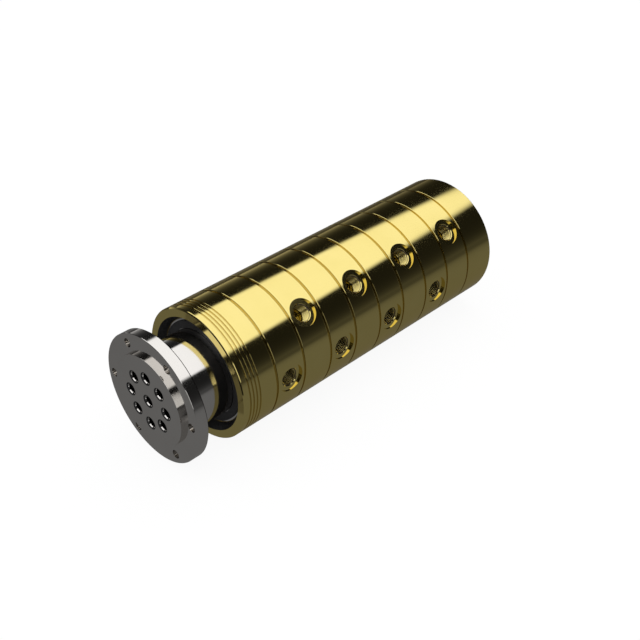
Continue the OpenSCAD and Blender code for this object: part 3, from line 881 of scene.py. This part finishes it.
def flat_sheet(name, corner, first, second, material):
    """A flat sheet: the corner plus none or all of the first side, plus none or all of the second."""
    share = np.array([0.0, 1.0])
    points = (
        np.array(corner)
        + share[:, None, None] * np.array(first)
        + share[None, :, None] * np.array(second)
    )
    sheet = surface(name, points, False, False, smooth=False)
    sheet.data.materials.append(material)
    return sheet


def level_square(name, centre, half, material):
    """A level square with its middle at a point."""
    corner = np.array(centre) - np.array([half, half, 0])
    return flat_sheet(name, corner, (2 * half, 0, 0), (0, 2 * half, 0), material)


def round_wall(name, middle, radius, low, high, material):
    """A round wall: a circle of that radius about the middle, carried from low to high."""
    angle = np.arange(WALL_SIDES)[:, None] * FULL_TURN / WALL_SIDES
    height = np.array([[low, high]])
    along = middle + radius * np.cos(angle) + 0 * height
    across = radius * np.sin(angle) + 0 * height
    points = np.stack([along, across, height + 0 * angle], axis=-1)
    wall = surface(name, points, True, False)
    wall.data.materials.append(material)
    return wall


def only_mirrored(card):
    """Lets the polish mirror a card that nothing else meets."""
    card.visible_camera = False
    card.visible_diffuse = False
    card.visible_transmission = False
    card.visible_volume_scatter = False
    card.visible_shadow = False


def level_direction(angle):
    """The level direction at that angle from the X axis."""
    return np.array([np.cos(angle), np.sin(angle), 0])


def set_room(stage, middle, ground):
    """What polish shows round it: a grey table, a dark room and one wide soft box overhead."""
    table_centre = (middle, 0, ground)
    table = disc_card(
        "grey_table",
        table_centre,
        stage.table_inner,
        stage.table_outer,
        stage.table_glow,
        stage.table_dim,
    )
    box_centre = (middle, 0, stage.box_height)
    box_middle = stage.box_radius - stage.box_feather
    box = disc_card("soft_box_cloth", box_centre, box_middle, stage.box_radius, stage.box_glow, 0.0)
    cloth = dark_cloth("dark_room_cloth", stage)
    cloth_top = stage.box_height + CLOTH_OVERLAP
    only_mirrored(level_square("table_card", table_centre, stage.room, table))
    only_mirrored(level_square("soft_box", box_centre, stage.room, box))
    only_mirrored(round_wall("room_cloth", middle, stage.room, ground, cloth_top, cloth))


def set_flange_cards(stage, table_top):
    """A lit patch on the table gives each mouth a glint, and a dark card further out keeps the rest dark."""
    patch_centre = (*stage.patch_place, table_top)
    patch = disc_card(
        "lit_patch",
        patch_centre,
        stage.patch_inner,
        stage.patch_outer,
        stage.patch_glow,
        stage.table_glow,
    )
    only_mirrored(level_square("lit_patch", patch_centre, stage.patch_outer, patch))
    edge = level_direction(stage.card_turn)
    aside = np.array([edge[1], -edge[0], 0])
    corner = np.array([*stage.card_start, table_top]) + stage.card_gap * edge
    card = even_card("dark_card", stage.card_dim)
    only_mirrored(flat_sheet("dark_card", corner, stage.card_side * edge, stage.card_side * aside, card))


def set_edge_cards(stage, ground, table_top):
    """A pale panel and a strip on the table draw the thin light lines along the broken edges."""
    pale = graded_panel("pale_panel", stage)
    panel_corner = (stage.panel_left, -stage.panel_away, ground)
    panel_width = stage.panel_right - stage.panel_left
    only_mirrored(
        flat_sheet("panel_card", panel_corner, (panel_width, 0, 0), (0, 0, stage.panel_height), pale)
    )
    onward = level_direction(stage.strip_turn)
    beside = np.array([-onward[1], onward[0], 0])
    strip_start = np.array([*stage.card_start, table_top])
    strip_corner = strip_start + stage.strip_near * onward - stage.strip_width / 2 * beside
    strip_length = stage.strip_far - stage.strip_near
    only_mirrored(
        flat_sheet("pale_strip", strip_corner, strip_length * onward, stage.strip_width * beside, pale)
    )


def set_lamp(scene, stage, middle):
    """A lamp in the soft box's place. It lights the object, and the polish mirrors the soft box instead."""
    lamp = bpy.data.lights.new("overhead_lamp", "AREA")
    lamp.shape = "DISK"
    lamp.size = 2 * stage.box_radius
    lamp.energy = stage.lamp_power
    lamp_object = bpy.data.objects.new("overhead_lamp", lamp)
    lamp_object.location = (middle, 0, stage.box_height)
    lamp_object.visible_glossy = False
    scene.collection.objects.link(lamp_object)


def set_camera(scene, stage):
    """A camera that looks from its place at its aim."""
    camera = bpy.data.cameras.new("camera")
    camera.lens = stage.lens
    camera.clip_start = 0.01
    camera_object = bpy.data.objects.new("camera", camera)
    camera_object.location = stage.camera
    sight = Vector(stage.aim) - Vector(stage.camera)
    camera_object.rotation_euler = sight.to_track_quat("-Z", "Y").to_euler()
    scene.collection.objects.link(camera_object)
    scene.camera = camera_object


class SetStage(bpy.types.Operator):
    """Sets up the floor, the light, the cards that the polish mirrors and the camera"""

    bl_idname = "union.set_stage"
    bl_label = "Set the stage"

    def execute(self, context):
        scene = context.scene
        stage = scene.union_stage
        ground = cad_box[0][2]
        middle = (cad_box[0][0] + cad_box[1][0]) / 2
        table_top = ground + CARD_CLEARANCE
        floor_centre = (middle, 0, ground - CARD_CLEARANCE)
        scene.view_settings.view_transform = "Standard"
        scene.world = white_world(stage)
        level_square("floor", floor_centre, FLOOR_REACH * stage.room, pale_floor(stage))
        set_room(stage, middle, ground)
        set_flange_cards(stage, table_top)
        set_edge_cards(stage, ground, table_top)
        set_lamp(scene, stage, middle)
        set_camera(scene, stage)
        return {"FINISHED"}


settings_groups = {
    "union_finish": FinishSettings,
    "union_recess": RecessSettings,
    "union_mouth": MouthSettings,
    "union_thread": ThreadSettings,
    "union_stage": StageSettings,
}
operators = (
    FinishBrass,
    FinishShaft,
    FinishBearings,
    FinishSeals,
    FinishFasteners,
    CutPortThreads,
    SetStage,
)


class UnionPanel(bpy.types.Panel):
    """Lists the steps that dress the rotary union"""

    bl_idname = "VIEW3D_PT_rotary_union"
    bl_label = "Rotary union"
    bl_space_type = "VIEW_3D"
    bl_region_type = "UI"
    bl_category = "Rotary union"

    def draw(self, context):
        for operator in operators:
            self.layout.operator(operator.bl_idname)


def register():
    """Makes the settings, operators and panel known to Blender."""
    for name, group in settings_groups.items():
        bpy.utils.register_class(group)
        setattr(bpy.types.Scene, name, PointerProperty(type=group))
    for made in (*operators, UnionPanel):
        bpy.utils.register_class(made)


def unregister():
    """Takes the panel, operators and settings out again."""
    for made in (UnionPanel, *reversed(operators)):
        bpy.utils.unregister_class(made)
    for name, group in settings_groups.items():
        delattr(bpy.types.Scene, name)
        bpy.utils.unregister_class(group)


def main():
    """Dresses the object step by step."""
    register()
    bpy.ops.union.finish_brass()
    bpy.ops.union.finish_shaft()
    bpy.ops.union.finish_bearings()
    bpy.ops.union.finish_seals()
    bpy.ops.union.finish_fasteners()
    bpy.ops.union.cut_port_threads()
    bpy.ops.union.set_stage()


if __name__ == "__main__":
    main()
